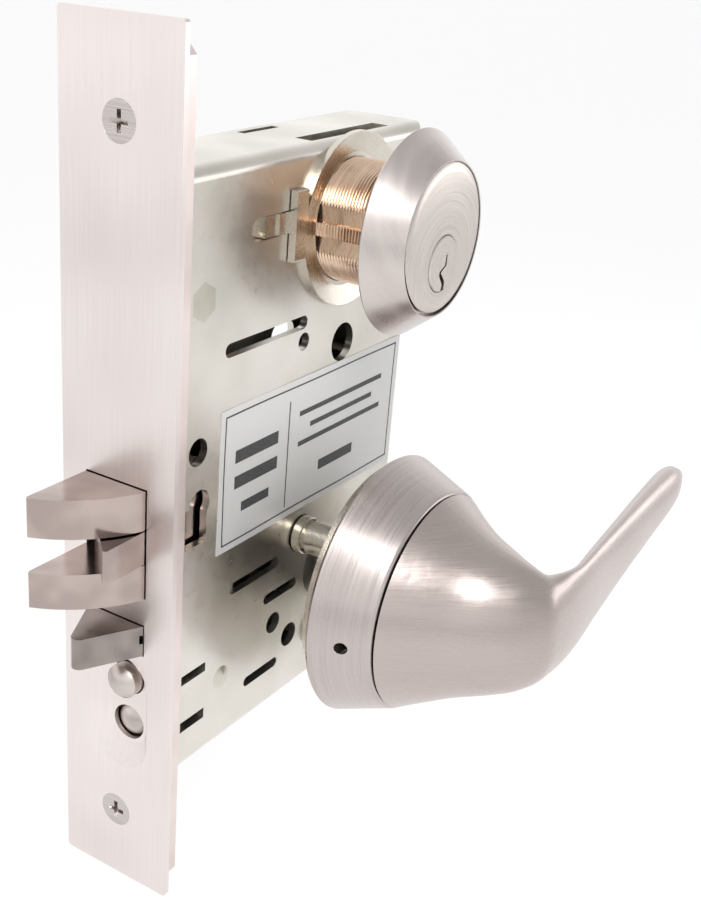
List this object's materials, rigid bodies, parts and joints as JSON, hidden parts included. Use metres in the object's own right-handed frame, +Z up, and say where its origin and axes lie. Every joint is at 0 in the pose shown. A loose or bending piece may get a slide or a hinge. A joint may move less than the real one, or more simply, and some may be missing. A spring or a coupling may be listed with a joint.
{
  "type": "mortise lock",
  "caption": "Mortise lock for a door edge: armored front with split latch, guard bolt and stop buttons, flat steel case, keyed cylinder with tapered collar, and a lever on a round rose.",
  "frame": {"origin": "centre of the armored front's outer face, flush with the door's edge", "axes": "+X across the door towards the outside trim, +Y from the edge into the door, +Z up"},
  "size_m": [0.098, 0.2129, 0.2032],
  "materials": {
    "satin_stainless": "satin stainless, fine brushed",
    "zinc_plated_steel": "zinc plated sheet steel, pale yellow-green passivation",
    "plain_steel": "plain machined steel",
    "brass": "machined brass",
    "bolt_steel": "polished stainless steel",
    "spring_steel": "spring steel wire",
    "label_foil": null
  },
  "bodies": {
    "lock_case": {"armor_front": "satin_stainless", "armor_screws": "satin_stainless", "button_guide": "zinc_plated_steel", "case_body": "zinc_plated_steel", "case_cover": "zinc_plated_steel", "case_label": "label_foil", "case_posts": "zinc_plated_steel", "clamp_screw": "plain_steel", "collar_spring": "spring_steel", "cover_screws": "zinc_plated_steel", "cylinder_ring": "zinc_plated_steel", "cylinder_shell": "brass", "deadlock_pin": "plain_steel", "driver_pins": "brass", "front_plate": "zinc_plated_steel", "guard_guide": "zinc_plated_steel", "guard_spring": "spring_steel", "hub_spring": "spring_steel", "inside_cylinder_ring": "zinc_plated_steel", "key_lever_pin": "plain_steel", "latch_guide": "zinc_plated_steel", "latch_spring": "spring_steel", "lever_bushing": "brass", "mounting_posts": "plain_steel", "pin_caps": "brass", "pin_springs": "spring_steel", "rocker_pin": "plain_steel", "rose": "satin_stainless", "rose_plate": "plain_steel"},
    "latch": {"latch_bolt": "bolt_steel", "tongue_pin": "plain_steel", "latch_tail": "plain_steel"},
    "tongue": {"latch_tongue": "bolt_steel"},
    "guard": {"guard_bolt": "bolt_steel"},
    "deadlock": {"deadlock_lever": "plain_steel"},
    "upper_button": {"stop_button_upper": "bolt_steel", "stop_slide": "zinc_plated_steel"},
    "lower_button": {"stop_button_lower": "bolt_steel"},
    "rocker": {"stop_rocker": "plain_steel"},
    "plug": {"cylinder_plug": "satin_stainless", "bottom_pins": "brass", "cylinder_cam": "brass", "cam_screws": "brass"},
    "key_lever": {"key_lever": "plain_steel"},
    "clamp": {"cylinder_clamp": "zinc_plated_steel"},
    "collar": {"cylinder_collar": "satin_stainless"},
    "lever": {"lever_handle": "satin_stainless", "spindle": "plain_steel", "lever_hub": "plain_steel", "retaining_ring": "spring_steel"}
  },
  "joints": [
    {"name": "lever_turn", "type": "hinge", "parent": "lock_case", "child": "lever", "pos_m": [0, 0.06985, -0.0384], "axis": [1, 0, 0], "range_deg": [-45, 0], "stiffness_Nm_per_rad": 1.2, "springref_deg": 22.92},
    {"name": "latch_slide", "type": "slide", "parent": "lock_case", "child": "latch", "axis": [0, 1, 0], "range_m": [0, 0.01905], "deforming": ["latch_spring"]},
    {"name": "tongue_tilt", "type": "hinge", "parent": "latch", "child": "tongue", "pos_m": [0.0054, 0.0075, 0], "axis": [0, 0, 1], "range_deg": [-28, 0], "stiffness_Nm_per_rad": 0.02, "springref_deg": 17.19},
    {"name": "guard_slide", "type": "slide", "parent": "lock_case", "child": "guard", "axis": [0, 1, 0], "range_m": [0, 0.0136], "stiffness_N_per_m": 250, "springref_m": -0.01, "deforming": ["guard_spring"]},
    {"name": "deadlock_tilt", "type": "hinge", "parent": "lock_case", "child": "deadlock", "pos_m": [0, 0.04195, -0.0243], "axis": [1, 0, 0], "range_deg": [-10, 0]},
    {"name": "upper_button_push", "type": "slide", "parent": "lock_case", "child": "upper_button", "axis": [0, 1, 0], "range_m": [0, 0.0045]},
    {"name": "lower_button_push", "type": "slide", "parent": "lock_case", "child": "lower_button", "axis": [0, 1, 0], "range_m": [-0.0045, 0]},
    {"name": "rocker_tilt", "type": "hinge", "parent": "lock_case", "child": "rocker", "pos_m": [0, 0.01785, -0.05055], "axis": [1, 0, 0], "range_deg": [-39.6, 0]},
    {"name": "plug_turn", "type": "hinge", "parent": "lock_case", "child": "plug", "pos_m": [0, 0.06985, 0.0477], "axis": [1, 0, 0], "range_deg": [-120, 120]},
    {"name": "key_lever_swing", "type": "hinge", "parent": "lock_case", "child": "key_lever", "pos_m": [0, 0.0937, 0.012], "axis": [1, 0, 0], "range_deg": [0, 18], "stiffness_Nm_per_rad": 0.05, "springref_deg": -28.65},
    {"name": "clamp_slide", "type": "slide", "parent": "lock_case", "child": "clamp", "axis": [0, 1, 0], "range_m": [-0.0034, 0]},
    {"name": "collar_spin", "type": "hinge", "parent": "lock_case", "child": "collar", "pos_m": [0, 0.06985, 0.05315], "axis": [1, 0, 0], "continuous": true}
  ],
  "couplings": [
    {"joint": "latch_slide", "follows": "lever_turn", "m_per_rad": -0.024255},
    {"joint": "deadlock_tilt", "follows": "guard_slide", "rad_per_m": -12.8},
    {"joint": "lower_button_push", "follows": "upper_button_push", "ratio": -1},
    {"joint": "rocker_tilt", "follows": "upper_button_push", "rad_per_m": -153.5}
  ]
}
